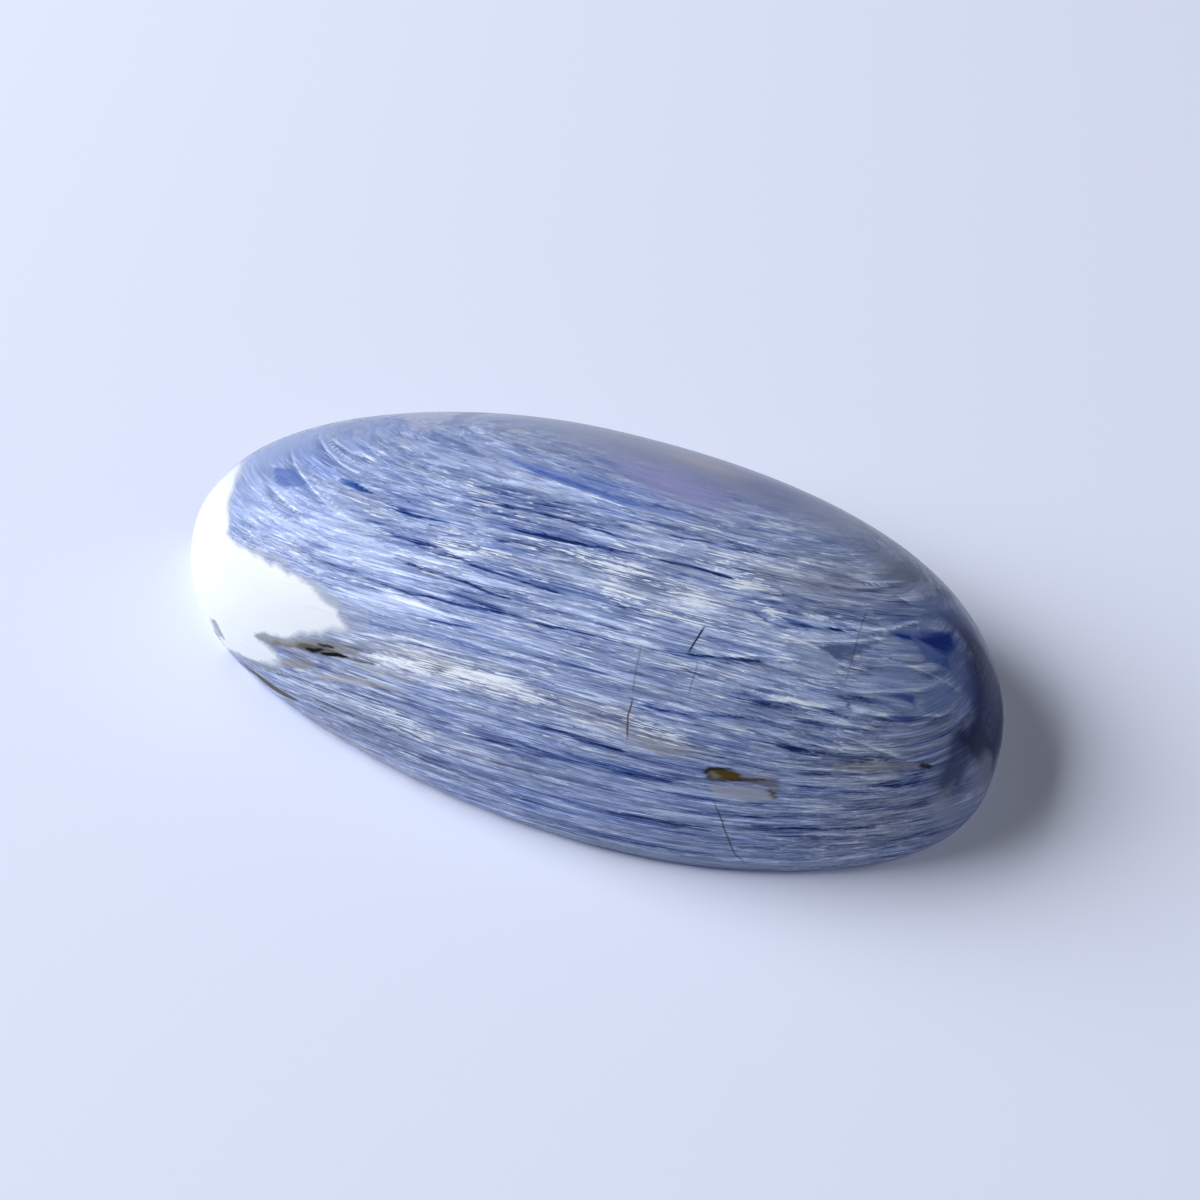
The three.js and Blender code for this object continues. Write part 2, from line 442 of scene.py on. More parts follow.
# Stains on the top: middle, radii, turn, colour, strength.
STAINS = (
    ((3, 6.4), (12.5, 2.6), 0, "#9299b4", 0.8),
    ((-13.4, 2.8), (4.2, 1.5), 32, "#7d89a8", 0.65),
    ((-16, 0.8), (1.2, 2), -20, "#7a87a2", 0.5),
    ((3.8, 6.3), (2, 0.8), -5, "#a6a5b3", 0.8),
    ((7.4, 6), (1.9, 1.1), 0, "#7b83ac", 0.7),
    ((3.2, 3.5), (3.2, 1.2), -8, "#9694c2", 0.75),
    ((10.6, 5), (2.8, 1.6), -30, "#9ba5c3", 0.55),
    ((11.2, 0.6), (2.4, 1), 22, "#a4abbe", 0.55),
)

# Faces of single blades on the top, and one painted reflection at the blue end's limb: colour, strength,
# softness of the edge in mm, corners.
FACES_AND_LIMB_REFLECTION = (
    ("#a6acc0", 0.65, 0.5, (-8.45, 6.6), (-8.45, 2.5), (-10, 3.4), (-11.4, 5.4)),
    ("#76829e", 0.65, 0.12, (-8.4, 6.9), (-8.5, 5.4), (-8.3, 4.2), (-7.7, 4.9), (-7.3, 6.9)),
    ("#7f8799", 0.65, 1.2, (12.4, 4.4), (13.4, 5.8), (14.8, 5.6), (15.4, 4.6), (14.4, 3.4), (13, 3)),
    ("#8fa0c9", 0.45, 1, (-17.4, 0.2), (-16, -0.8), (-14.6, -0.2), (-13.6, 1.4), (-14, 3.4), (-16, 2.6)),
    ("#566da8", 0.84, 0.14, (-15.3, -0.3), (-13.9, -0.5), (-13.3, -1), (-12.6, -1.65), (-14.1, -1.6),
     (-14.6, -1.3)),
    ("#4a66a4", 1, 0.12, (-11.3, -0.95), (-10.5, -1.05), (-9.8, -1.4), (-8.8, -1.75), (-10.2, -1.62),
     (-11.1, -1.3)),
    ("#23407f", 1, 0.1, (-10.8, -1.2), (-10.3, -1.2), (-9.7, -1.45), (-9, -1.72), (-10, -1.6)),
    ("#c9d3e6", 0.6, 0.06, (5.07, -5.3), (5.13, -5.3), (5.3, -6.5), (5.5, -7.4), (5.42, -7.4), (5.22, -6.5)),
    ("#7082b3", 0.75, 0.6, (14.8, 2.8), (15.6, 2.2), (16.6, 2.9), (17.4, 3.2), (17.6, 4), (17, 4.8),
     (16.2, 5.2), (15.4, 4.6), (15, 3.6)),
    ("#54648f", 0.8, 0.5, (16, 3), (17, 2.8), (17.9, 3.3), (17.7, 4.4), (17, 4.6), (16.2, 4.1)),
    ("#4a5b86", 0.7, 0.3, (15.3, 4.6), (15.8, 4.5), (16.2, 5.2), (15.9, 5.7), (15.5, 5.3)),
    ("#586aa4", 0.75, 0.5, (15.6, 0), (16.6, 0.5), (17.2, 0.1), (18, 0), (18.7, -0.4), (18.9, 0.4),
     (18.5, 1.2), (18, 1.9), (17.4, 2.4), (16.9, 1.6)),
    ("#35426a", 0.85, 0.5, (18, -2.2), (18.4, -1.4), (18.9, -1.8), (19.3, -2.6), (19.2, -3.6), (18.7, -4.4),
     (18.1, -4.4), (18.2, -3.2)),
    ("#182456", 0.9, 0.8, (17, 3.7), (18.1, 3.9), (19.2, 3.2), (20.2, 1.9), (20.8, 1), (20.8, 0),
     (20.2, -1.6), (19.3, -2.3), (18.5, -2), (18.5, -0.9), (18.4, 0.2), (18.1, 1), (17.8, 1.5), (17.5, 2.2),
     (17, 2.7)),
    ("#181f40", 0.75, 0.9, (18.7, -1), (19.1, -0.6), (19.8, -0.8), (19.7, -1.6), (19.1, -2.3), (18.7, -1.9)),
    # a grey painted reflection of the room at the blue end's outermost limb
    ("#8d92a6", 0.7, 0.3, (19.6, -1.2), (19.9, -0.7), (20.3, -1.6), (20, -2.9), (19.5, -3.1), (19.5, -2)),
    ("#3c55a2", 0.75, 0.3, (14.3, 0.1), (14.7, 0.65), (15.2, 1.1), (15.5, 1.7), (16.1, 2), (16.8, 2.8),
     (17.2, 2.3), (17.2, 1.7), (16.9, 0.9), (16.2, 0.65), (15.6, 0.45), (15, 0.15)),
    ("#1c3386", 0.8, 0.25, (15.4, 0.75), (15.8, 1.2), (16.1, 1.75), (16.7, 2.5), (17, 1.9), (16.8, 1.2),
     (16.3, 0.9)),
    ("#1f3885", 0.8, 0.12, (14.4, 0.2), (14.8, 0.5), (15.3, 0.75), (15.4, 0.55), (14.9, 0.25)),
    ("#4560a8", 0.8, 0.2, (15.5, 0.55), (16.2, 0.7), (16.9, 0.95), (17.2, 0.5), (16.6, 0.1), (15.9, 0.1)),
    ("#98a6c4", 0.55, 0.1, (10.9, -2.8), (11.5, -2.5), (12.9, -2.55), (13.1, -2.6), (12.8, -3.3),
     (11.3, -4)),
    ("#56648e", 0.75, 0.1, (11.9, -2.3), (12.9, -2.6), (13.4, -2.1), (14.4, -0.2), (13, -1.6)),
    ("#98a9d4", 0.5, 0.08, (13.1, -3.2), (14.36, -1.9), (15.7, -0.75), (16.6, -0.37), (17.5, -0.1),
     (16.8, -1.1), (16, -2.1), (15, -3), (13.4, -3.9)),
    ("#7f91c0", 0.5, 0.08, (13.4, -3.9), (15, -3), (16, -2.1), (16.8, -1.1), (17.5, -0.1), (18.1, -0.15),
     (18.6, -0.5), (17.9, -1.5), (15.7, -3.5), (14.4, -3.4)),
    ("#7086bd", 0.5, 0.08, (14.6, 0.1), (15.6, 0.5), (16.9, 1), (16.4, 0.1), (15.4, -0.3)),
    ("#a5b3d6", 0.4, 0.08, (11.7, -2.1), (12.3, -2.3), (13.1, -2.7), (12.9, -3.2), (12, -3.2), (11.2, -2.7)),
    ("#3d55a0", 0.85, 0.15, (15.2, -2.75), (15.7, -2.25), (16.3, -2), (16.5, -2.4), (15.9, -2.5)),
    ("#2b4a94", 0.85, 0.15, (15.4, -3.6), (15.8, -3.25), (16.7, -2.7), (16.6, -3.1), (15.9, -3.5)),
    ("#5a6a93", 0.8, 0.15, (11.7, -2.35), (12.4, -2), (12.9, -1.6), (13, -2.2), (12.8, -2.5)),
    ("#465a88", 0.9, 0.1, (13.2, -3.95), (13.6, -3.75), (14.1, -3.95), (13.8, -4.25), (13.7, -4.02)),
    ("#8da0d1", 0.5, 0.2, (14.2, -1.9), (15.2, -1.15), (16.2, -0.7), (16.4, -1.3), (15.6, -2.1),
     (14.4, -2.4)),
    ("#6e86be", 0.6, 0.2, (16.4, -1.6), (17.2, -0.4), (17.9, -0.3), (17.6, -1.5), (16.9, -2.2)),
    ("#35488f", 0.85, 0.1, (10, -1.55), (10.1, -1.25), (10.6, -1.1), (11.2, -1.15), (10.6, -1.4)),
    ("#7686b8", 0.5, 0.3, (9.6, -4.9), (10.6, -4.1), (11.6, -3.9), (11, -4.6)),
)

# Coloured streaks on the top: half width, strength, colour, points.
STREAKS = (
    (0.45, 0.5, "#6c86c8", (-6, 2.7), (-3.5, 1.95), (-1, 1.65), (2, 1.4), (5, 1.5)),
    (0.22, 0.55, "#4460b0", (-4.4, 2.15), (-2.4, 1.7), (0, 1.45), (2.4, 1.3)),
    (0.26, 0.55, "#8b8d92", (-11.8, -7.6), (-10.5, -7.9), (-8.5, -8.1), (-6, -8.3)),
    (0.09, 0.9, "#6a6655", (-12.95, -7.28), (-11.8, -7.6), (-10.8, -7.8), (-9.6, -7.95)),
    (0.2, 0.6, "#77766e", (-11.4, -7.7), (-9.9, -7.85), (-8.6, -7.95), (-7, -8.1)),
    (0.12, 0.6, "#4a4843", (-10.6, -7.85), (-9.2, -8.05), (-8, -8.2)),
    (0.07, 1, "#121318", (-9.95, -7.96), (-9.5, -8.05), (-9, -8.03)),
    (0.06, 1, "#121318", (-9.2, -8.1), (-8.7, -8.16), (-8.2, -8.18), (-7.6, -8.26)),
    (0.04, 0.9, "#121318", (-9.4, -7.88), (-9, -7.93), (-8.4, -8)),
    (0.04, 0.7, "#4a4a4c", (-7.9, -8.24), (-7.2, -8.32), (-6.2, -8.4)),
    (0.12, 0.5, "#8c8a82", (-11.3, -8.05), (-10.4, -8.2), (-9.2, -8.4)),
    (0.16, 0.55, "#8f8a80", (-7.6, -8.4), (-6, -8.6), (-3.6, -8.8)),
    (0.1, 0.6, "#b4aa9c", (-9, -8.6), (-7, -8.8), (-4.4, -9)),
    (0.26, 0.75, "#9aa4ba", (-10.6, -5.9), (-9.6, -6.4), (-8.4, -6.8)),
    (0.55, 0.65, "#9aa4ba", (-8.5, -6.9), (-7.7, -7.1), (-6.9, -7.2)),
    (0.14, 0.75, "#a3a8b4", (-15.6, -3.4), (-14, -4.7), (-12.8, -5), (-11.6, -5.4)),
    (0.14, 0.6, "#98938e", (5.7, -8.55), (7.5, -8.4), (9.1, -8.15)),
    (0.04, 0.75, "#4d4a44", (5.6, -8.38), (7.4, -8.2), (9, -7.95)),
    (0.05, 0.7, "#a58f6a", (5.7, -8.7), (7, -8.62), (8.2, -8.5)),
    (0.2, 0.55, "#a8a29a", (14, -6.35), (15.2, -5.75), (16.4, -5), (17.7, -4.1)),
    (0.12, 0.9, "#30302e", (17.2, -4.4), (17.5, -4.2), (17.9, -3.95)),
    # pale wisps by the quartz
    (0.1, 0.6, "#e4ecfa", (-13.3, 0.1), (-12.8, -0.9), (-11.8, -1.9), (-10.3, -2.9), (-9.2, -3.65)),
    (0.1, 0.65, "#e4ecfa", (-14.7, -1.4), (-13.9, -2.1), (-13.1, -2.7), (-12.2, -3.2)),
    (0.07, 0.6, "#e4ecfa", (-15.4, -1.7), (-14.6, -2.3), (-13.6, -3), (-12.4, -3.7)),
    (0.16, 0.4, "#ccd6ee", (-14.6, -2.7), (-12.6, -3.6), (-10.4, -4.2), (-8.4, -4.6)),
    (0.08, 0.55, "#dbe4f6", (-13.3, 1.95), (-12.5, 1.3), (-11.6, 0.7)),
    (0.08, 0.5, "#dbe4f6", (-12.4, 0.9), (-11.2, 0.1), (-9.8, -0.5), (-8, -1)),
    (0.08, 0.6, "#e4ecfa", (-11.4, -3.9), (-10, -4.5), (-8.6, -5), (-7, -5.3)),
)
# And on the front wall, in x and height, with painted light along the base edge.
WALL_STREAKS_AND_RIM_LIGHT = (
    (0.08, 0.8, "#4b4a40", (-14.2, 1.1), (-12, 1.9), (-10.2, 2.6)),
    (0.3, 0.5, "#8c8c80", (-11.8, 2.6), (-10.6, 3.2), (-9.2, 3.9)),
    (0.3, 0.7, "#86847c", (-14.6, 0.8), (-12.6, 0.9), (-10.4, 1)),
    (0.12, 0.9, "#4b4942", (-13.8, 0.75), (-12.8, 0.9), (-11.4, 1.1)),
    (0.09, 0.8, "#7b7a72", (-16.2, 0.8), (-15, 0.4), (-13.6, 0.6)),
    (0.22, 0.85, "#4f4d45", (-12.9, 0.8), (-11.6, 0.95), (-10.2, 1.3)),
    (0.09, 0.85, "#5f5d50", (-14, 1.25), (-12.8, 1.75), (-11.4, 2.25)),
    (0.08, 0.8, "#4a4034", (-5.6, 3.15), (-4.2, 3.15), (-3, 3.1)),
    (0.1, 0.7, "#5d503c", (-2, 3.3), (-0.6, 3.45), (0.8, 3.5)),
    (0.06, 0.7, "#4a4034", (0, 3.5), (2.4, 3.7), (4.2, 3.9)),
    # a pale rim of painted light along the base edge, caught from the floor
    (0.34, 0.7, "#97a0b3", (2, 0.6), (8, 0.65), (12, 0.7), (17, 0.9)),
    (0.05, 0.7, "#2f3850", (4, 1.15), (8, 1.2), (11.5, 1.2)),
    # a pale brownish rim of painted light along the base edge
    (0.3, 0.6, "#b7adb0", (-10.6, 0.9), (-8, 0.65), (-4, 0.5), (-1.5, 0.5)),
    (0.28, 0.9, "#5c5e52", (-16.1, 1.5), (-15.8, 1.45), (-15.2, 1.15)),
)
# Faces on the front wall, in x and height, and one pale painted reflection at the blue end.
WALL_FACES_AND_REFLECTION = (
    ("#59617b", 0.35, 1, (14.5, 3.4), (16.5, 4.2), (18.5, 4.6), (20.3, 3.5), (20.3, 1), (18.5, 0.6),
     (16.5, 1.5)),
    # a pale painted reflection on the wall at the blue end
    ("#9ba3b5", 0.6, 0.4, (18, 3.3), (18.7, 3.3), (19.4, 1.6), (19, 1), (18.3, 2.2)),
    ("#b4b8c4", 0.78, 0.14, (9.4, 4.78), (10.6, 4.85), (11.8, 4.7), (12.25, 4.55), (12.3, 4.25), (11, 4.2),
     (9.6, 4.37)),
    ("#5c4f3a", 0.9, 0.1, (11.75, 4.72), (12.2, 4.65), (12.25, 4.3), (12, 4.35), (11.95, 4.55)),
    ("#71717a", 0.85, 0.15, (10.6, 5.2), (12.1, 5.1), (12.25, 4.7), (11.9, 4.75), (10.7, 4.95)),
    ("#4a4438", 0.9, 0.1, (9.1, 5.2), (9.3, 5.42), (9.7, 5.4), (10.5, 5.3), (10.8, 5.05), (9.5, 4.9),
     (9.2, 4.9)),
    ("#8a8478", 0.9, 0.1, (9.35, 5.2), (9.6, 5.28), (9.75, 5.1), (9.5, 4.98)),
    ("#614a1c", 0.92, 0.1, (9.75, 5.3), (10.4, 5.25), (10.7, 5.1), (10.4, 5), (9.85, 5.08)),
    ("#2a2010", 0.95, 0.08, (9.1, 5.2), (9.3, 5.42), (10.2, 5.42), (10.2, 5.35), (9.4, 5.32), (9.2, 5.1)),
    ("#3a2f18", 0.9, 0.08, (9.7, 4.96), (10.7, 5.06), (11.6, 5.08), (11.6, 5.02), (10.7, 4.97),
     (9.75, 4.88)),
    ("#8b8d86", 0.85, 0.2, (-16.3, 1.3), (-15.9, 1.6), (-15.5, 1.2), (-15.6, 0.6), (-16.1, 0.55)),
)

# Where the quartz ends, going over the stone from the front girdle, at 0 degrees, by the top, at
# 90, to the back girdle, at 180: degrees and x.
QUARTZ_BORDER = (
    (-6, -15.4), (0, -14.8), (4, -14), (9, -12.6), (14, -11.3), (17, -11.6), (19.2, -13), (21.5, -12.2),
    (24, -11), (27, -10.4), (30.7, -9.3), (33, -8.6), (35, -8), (38, -8.6), (40.8, -9), (42.7, -10),
    (43.9, -11.3), (45.2, -12.6), (46.4, -14.2), (47.6, -15), (50.4, -16), (60.6, -16.6), (70, -16.9),
    (86, -17.2), (105, -17.9), (130, -17.6), (150, -16.6), (165, -15.2), (180, -14.4), (186, -14.6),
)
GIRTH_PER_DEGREE = 0.14  # mm of surface for each degree over the quartz end

# Where the blades are grey rather than blue: middle, radii, turn, how grey.
GREYS = (
    ((-4, -8.1), (6.5, 0.55), -3, 0.85),
    ((4.5, -8.3), (3, 0.4), 2, 0.6),
    ((4.6, -2.6), (3.4, 0.7), 5, 0.5),
    ((10.5, 1.2), (3.4, 1.2), 25, 0.6),
    ((2, 7), (14, 3), 0, 0.7),
    ((15.5, -5.5), (2.5, 0.8), 30, 0.5),
)
# And on the front wall, in x and height.
WALL_GREYS = (((-7, 2.6), (6, 2.4), 0, 0.5), ((17, 2.6), (4, 2), 0, 0.5))

# Where the blades are clear and even, with few fibres to see: middle, radii, turn, how even.
CALM = (
    ((18.8, 0.5), (1.6, 6), 0, 0.5),
    ((17.2, 3), (1.8, 2.5), 0, 0.45),
    ((2.5, 6.4), (13, 2.6), 0, 0.8),
    ((3, 3.4), (3.5, 1.2), -5, 0.6),
    ((-13.6, 2), (4.5, 2.2), 20, 0.65),
    ((-15.5, -1.5), (1.8, 1.8), 0, 0.5),
    ((-12, -1), (3.5, 2.5), -15, 0.35),
    ((16.5, 0.8), (2.2, 2.2), 0, 0.4),
    ((16.6, 3.6), (1.8, 2), 0, 0.4),
    ((18.6, -3), (1.4, 2), 0, 0.4),
    ((16, -2.4), (2.4, 1.8), 30, 0.25),
    ((-0.5, 2.4), (4.5, 0.9), -4, 0.4),
    ((-8.5, 2.4), (5, 1.8), -12, 0.4),
    ((13.8, 4.4), (1.8, 1.6), -30, 0.7),
)

# Flecks of painted glint, where the cleavage would shine back: middle, radii, turn, density.
GLINT_FLECKS = (
    ((2.2, -2.3), (3.5, 0.5), 0, 0.5),
    ((6.5, -2.6), (0.9, 0.6), 0, 0.9),
    ((-3.7, -3.5), (1.6, 0.6), 0, 0.6),
    ((3.7, -3.6), (1.8, 0.4), 0, 0.5),
    ((-0.6, -8.3), (2.6, 0.3), 0, 0.8),
    ((-4.8, -8.3), (1.6, 0.3), 0, 0.8),
    ((8, -0.8), (1.5, 0.7), 0, 0.6),
    ((9.4, -1.7), (0.7, 0.3), 0, 0.7),
    ((6.5, -8.1), (2, 0.3), 0, 0.5),
    ((0, -2.5), (12, 4), 0, 0.08),
)
# And on the front wall, in x and height.
WALL_GLINT_FLECKS = (((-4, 3.4), (2.5, 0.5), 0, 0.6),)

# Ledges, where one blade's edge lies over the next: points of x and y on the top. The edge itself has a
# painted shine, and just in front of it a painted shadow darkens the stone.
LEDGES = (
    # feathers by the quartz
    ((-15.6, 2), (-15, 1), (-14.2, -0.1), (-13.4, -0.9), (-12.5, -1.65), (-11, -2.7)),
    ((-14.6, 3.4), (-14, 2), (-12.9, 0.8), (-11.6, -0.2), (-10.2, -0.8)),
    ((-13.3, 1.9), (-12.5, 1.3), (-11.6, 0.75), (-10, 0.3)),
    ((-15.2, -1.2), (-14, -2.1), (-13, -2.7), (-12, -3.2)),
    # scales towards the blue end
    ((12, -2.1), (12.5, -2.5), (13.1, -2.65)),
    ((13.3, -3.85), (13.7, -3.55), (14.3, -3.25), (15, -2.75), (15.6, -2.35), (16.3, -1.7), (16.9, -0.8),
     (17.3, 0)),
    ((13.4, -2.35), (14, -2.05), (14.4, -1.85), (15, -1.3), (15.6, -0.85), (16.6, -0.5), (17.9, -0.15)),
    ((14.8, -3.95), (15.6, -3.5), (16.2, -3.05), (16.9, -2.5), (17.5, -2), (18, -1.2), (18.3, -0.4)),
    ((14.2, 0.05), (14.55, 0.6), (15, 1.25), (15.5, 1.9)),
    ((12.8, -2.9), (13.3, -2.55), (13.9, -2.35), (14.6, -2.1)),
    ((11, -2.55), (11.6, -2.25), (12.3, -1.85), (13, -1.4), (13.7, -0.8), (14.3, -0.3)),
    ((8, -4.6), (8.9, -4.4), (9.6, -4), (10.6, -3.65), (11.4, -3.4)),
    ((9.4, -5.9), (10.4, -5.55), (11.6, -5.1), (12.9, -4.7), (13.8, -4.3)),
    ((11.9, -5.6), (12.7, -5.25), (13.6, -5), (14.5, -4.6), (15.6, -4.3)),
    ((10, -5.2), (10.8, -4.95), (11.7, -4.7)),
    ((13.3, -5.6), (14.3, -5.2), (15.4, -4.95), (16.6, -4.6), (17.3, -3.9)),
    ((12, -6.4), (13.2, -6), (14.6, -5.6), (15.6, -5.1)),
    ((13.5, -0.45), (14, 0.1), (14.6, 0.8), (15.1, 1.5), (15.4, 2.2)),
    ((12.3, 2), (13, 2.5), (13.8, 3.3), (14.4, 4.2)),
    ((11.2, 1), (12.2, 1.5), (13, 2.1), (13.7, 2.9)),
)

# The stone's far side, beyond this line, is greyer: partly its own grey, partly a painted reflection of the
# pale room at the grazing edge.
FAR_SIDE = (
    (-19, -0.6), (-18, 0.6), (-16, 2.6), (-14, 4), (-12, 5), (-10, 5.9), (-6, 7.1), (0, 8.1), (6, 8.1),
    (10, 7.8), (13, 7), (15, 6.2), (16, 5.7), (17, 5), (18, 4.2), (18.6, 3.5), (19.2, 2.5), (19.6, 1.8),
    (19.9, 1), (20.2, -1),
)

# Cracks: how brown with iron each is, how dark, and points of y and x, nearest first.
CRACKS = (
    (0.9, 0.9, (-8.7, 5.7), (-8.3, 5.55), (-8, 5.45), (-7.3, 5.4)),
    (0.2, 0.35, (-7.35, 5.4), (-6.5, 5.2), (-5.3, 5)),
    (0, 1, (-5.05, 6.97), (-4.7, 7.03), (-4.3, 7.12), (-3.6, 7.25)),
    (0.1, 0.35, (-6.6, 7.6), (-5.1, 7.5)),
    (0.2, 0.35, (-3.6, 13.5), (-1.5, 13.35), (0, 13.2), (1.2, 13.15)),
)
# A crack down the front wall: points of height and x, from the base up.
WALL_CRACK = ((0.7, 11.6), (1.5, 11), (3.2, 10.3), (4.3, 9.7))

FIBRES = 400  # how many fibres there are before their ends' places repeat
FIBRE_THICKNESS = 0.07
CLEAR_RIM = 17  # past this x the blades' ends are clear, and faces have even edges

# How values are kept at the stone's points, by how many there are for each: kind and field.
KEPT_AS = {1: ("FLOAT", "value"), 3: ("FLOAT_VECTOR", "vector"), 4: ("FLOAT_COLOR", "color")}


def vein(along, across, half_width, points):
    """How much of a vein each point of the stone holds: 1 in its middle, 0 past its edges."""
    xs, ys = zip(*points)
    run = np.clip((along - xs[0]) / (xs[-1] - xs[0]), 0, 1)
    taper = (4 * run * (1 - run)) ** 0.5
    offset = (across - np.interp(along, xs, ys)) / (half_width * np.maximum(taper, 1e-3))
    return np.clip(1 - offset**2, 0, 1) * (taper > 0.02)


def cloud(x, y, middle, radii, turn):
    """A soft oval patch: 1 in its middle, fading out over its radii."""
    dx, dy = x - middle[0], y - middle[1]
    c, s = math.cos(math.radians(turn)), math.sin(math.radians(turn))
    along, across = (dx * c + dy * s) / radii[0], (dy * c - dx * s) / radii[1]
    return np.exp(-(along**2 + across**2))


def strongest(x, y, patches, swell=1.0):
    """The most that any of several soft patches gives each point of the stone."""
    most = np.zeros(x.shape)
    for middle, radii, turn, amount in patches:
        most = np.maximum(most, amount * np.minimum(swell * cloud(x, y, middle, radii, turn), 1))
    return most


def distance_to_line(along, across, points):
    """How far each point of the stone is from a line through points."""
    nearest = np.full(along.shape, np.inf)
    for (x0, y0), (x1, y1) in zip(points, points[1:]):
        dx, dy = x1 - x0, y1 - y0
        share = np.clip(((along - x0) * dx + (across - y0) * dy) / (dx * dx + dy * dy), 0, 1)
        away = np.hypot(along - x0 - share * dx, across - y0 - share * dy)
        nearest = np.minimum(nearest, away)
    return nearest


def face(x, y, softness, corners):
    """How far inside a blade's face each point of the stone is: 1 within, 0 outside."""
    inside = np.zeros(x.shape, dtype=bool)
    for (x0, y0), (x1, y1) in zip(corners, corners[1:] + corners[:1]):
        crosses = (y0 > y) != (y1 > y)
        inside ^= crosses & (x < x0 + (y - y0) * (x1 - x0) / (y1 - y0 if y1 != y0 else 1))
    away = distance_to_line(x, y, corners + corners[:1])
    return np.clip(0.5 + np.where(inside, away, -away) / softness, 0, 1)


def nearest_line(along, across, lines, reach):
    """The signed distance across the nearest of several lines, how strong it is, and its number.

    A line fades out towards its ends and has no strength past its reach."""
    offset = np.full(along.shape, 9.0)
    strength = np.zeros(along.shape)
    which = np.zeros(along.shape, dtype=int)
    for number, points in enumerate(lines):
        xs, ys = zip(*points)
        slope = np.interp(along, xs, np.gradient(ys, xs))
        away = (across - np.interp(along, xs, ys)) / np.sqrt(1 + slope**2)
        run = np.clip((along - xs[0]) / (xs[-1] - xs[0]), 0, 1)
        here = np.clip(6 * run, 0, 1) * np.clip(6 * (1 - run), 0, 1)
        closer = (np.abs(away) < np.abs(offset)) & (here > 0)
        offset = np.where(closer, away, offset)
        strength = np.where(closer, here, strength)
        which = np.where(closer, number, which)
    return offset, strength * np.clip(2 - 2 * np.abs(offset) / reach, 0, 1), which


def frayed(along, points, share, fray):
    """Places along a vein, shifted by a share of its length from fibre to fibre."""
    return along + share * (points[-1][0] - points[0][0]) * fray


